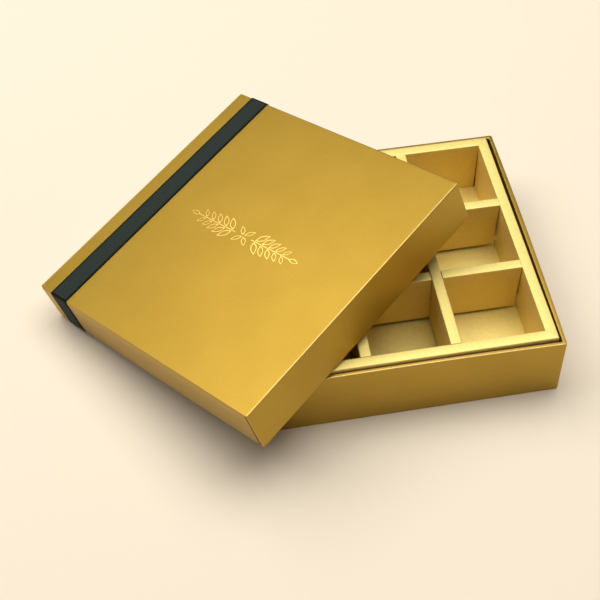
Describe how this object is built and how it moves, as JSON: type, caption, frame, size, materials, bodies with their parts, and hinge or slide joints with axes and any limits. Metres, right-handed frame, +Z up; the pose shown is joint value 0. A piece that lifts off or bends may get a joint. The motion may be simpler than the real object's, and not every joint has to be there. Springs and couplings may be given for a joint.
{
  "type": "packaging box",
  "caption": "Square gift box for sweets: wrapped rigid base with a folded card insert in cells, and a drop-over lid with a ribbon band, leaning on the base.",
  "frame": {"origin": "middle of the base's underside, on the surface that the box stands on", "axes": "+Z up; +X along the base's front wall, to the right; +Y from the front wall to the back"},
  "size_m": [0.3354, 0.2929, 0.1094],
  "materials": {
    "gold_wrap": "satin metallic gold paper",
    "greyboard": "raw greyboard",
    "kraft_tape": "kraft paper tape",
    "lining_paper": "matt gold lining paper",
    "pearl_card": "pearl pale gold card",
    "ribbon_cloth": "ribbed grosgrain"
  },
  "bodies": {
    "base": {"base_floor_board": "greyboard", "base_wall_board_front": "greyboard", "base_wall_board_right": "greyboard", "base_wall_board_back": "greyboard", "base_wall_board_left": "greyboard", "base_corner_stay_front_left": "kraft_tape", "base_corner_stay_front_right": "kraft_tape", "base_corner_stay_back_left": "kraft_tape", "base_corner_stay_back_right": "kraft_tape", "base_wrap": "gold_wrap", "base_liner": "lining_paper"},
    "tray": {"insert_tray": "pearl_card"},
    "grid": {"row_divider_front": "pearl_card", "row_divider_back": "pearl_card", "column_divider_left": "pearl_card", "column_divider_right": "pearl_card"},
    "lid": {"lid_top_board": "greyboard", "lid_wall_board_front": "greyboard", "lid_wall_board_right": "greyboard", "lid_wall_board_back": "greyboard", "lid_wall_board_left": "greyboard", "lid_corner_stay_front_left": "kraft_tape", "lid_corner_stay_front_right": "kraft_tape", "lid_corner_stay_back_left": "kraft_tape", "lid_corner_stay_back_right": "kraft_tape", "lid_wrap": "gold_wrap", "lid_liner": "lining_paper", "lid_ribbon": "ribbon_cloth"}
  },
  "joints": [
    {"name": "tray_lift", "type": "slide", "parent": "base", "child": "tray", "axis": [0, 0, 1], "range_m": [0, 0.06]},
    {"name": "grid_lift", "type": "slide", "parent": "tray", "child": "grid", "axis": [0, 0, 1], "range_m": [0, 0.05]},
    {"name": "lid_lift", "type": "slide", "parent": "grid", "child": "lid", "axis": [0, 0, 1], "range_m": [0, 0.07]}
  ]
}
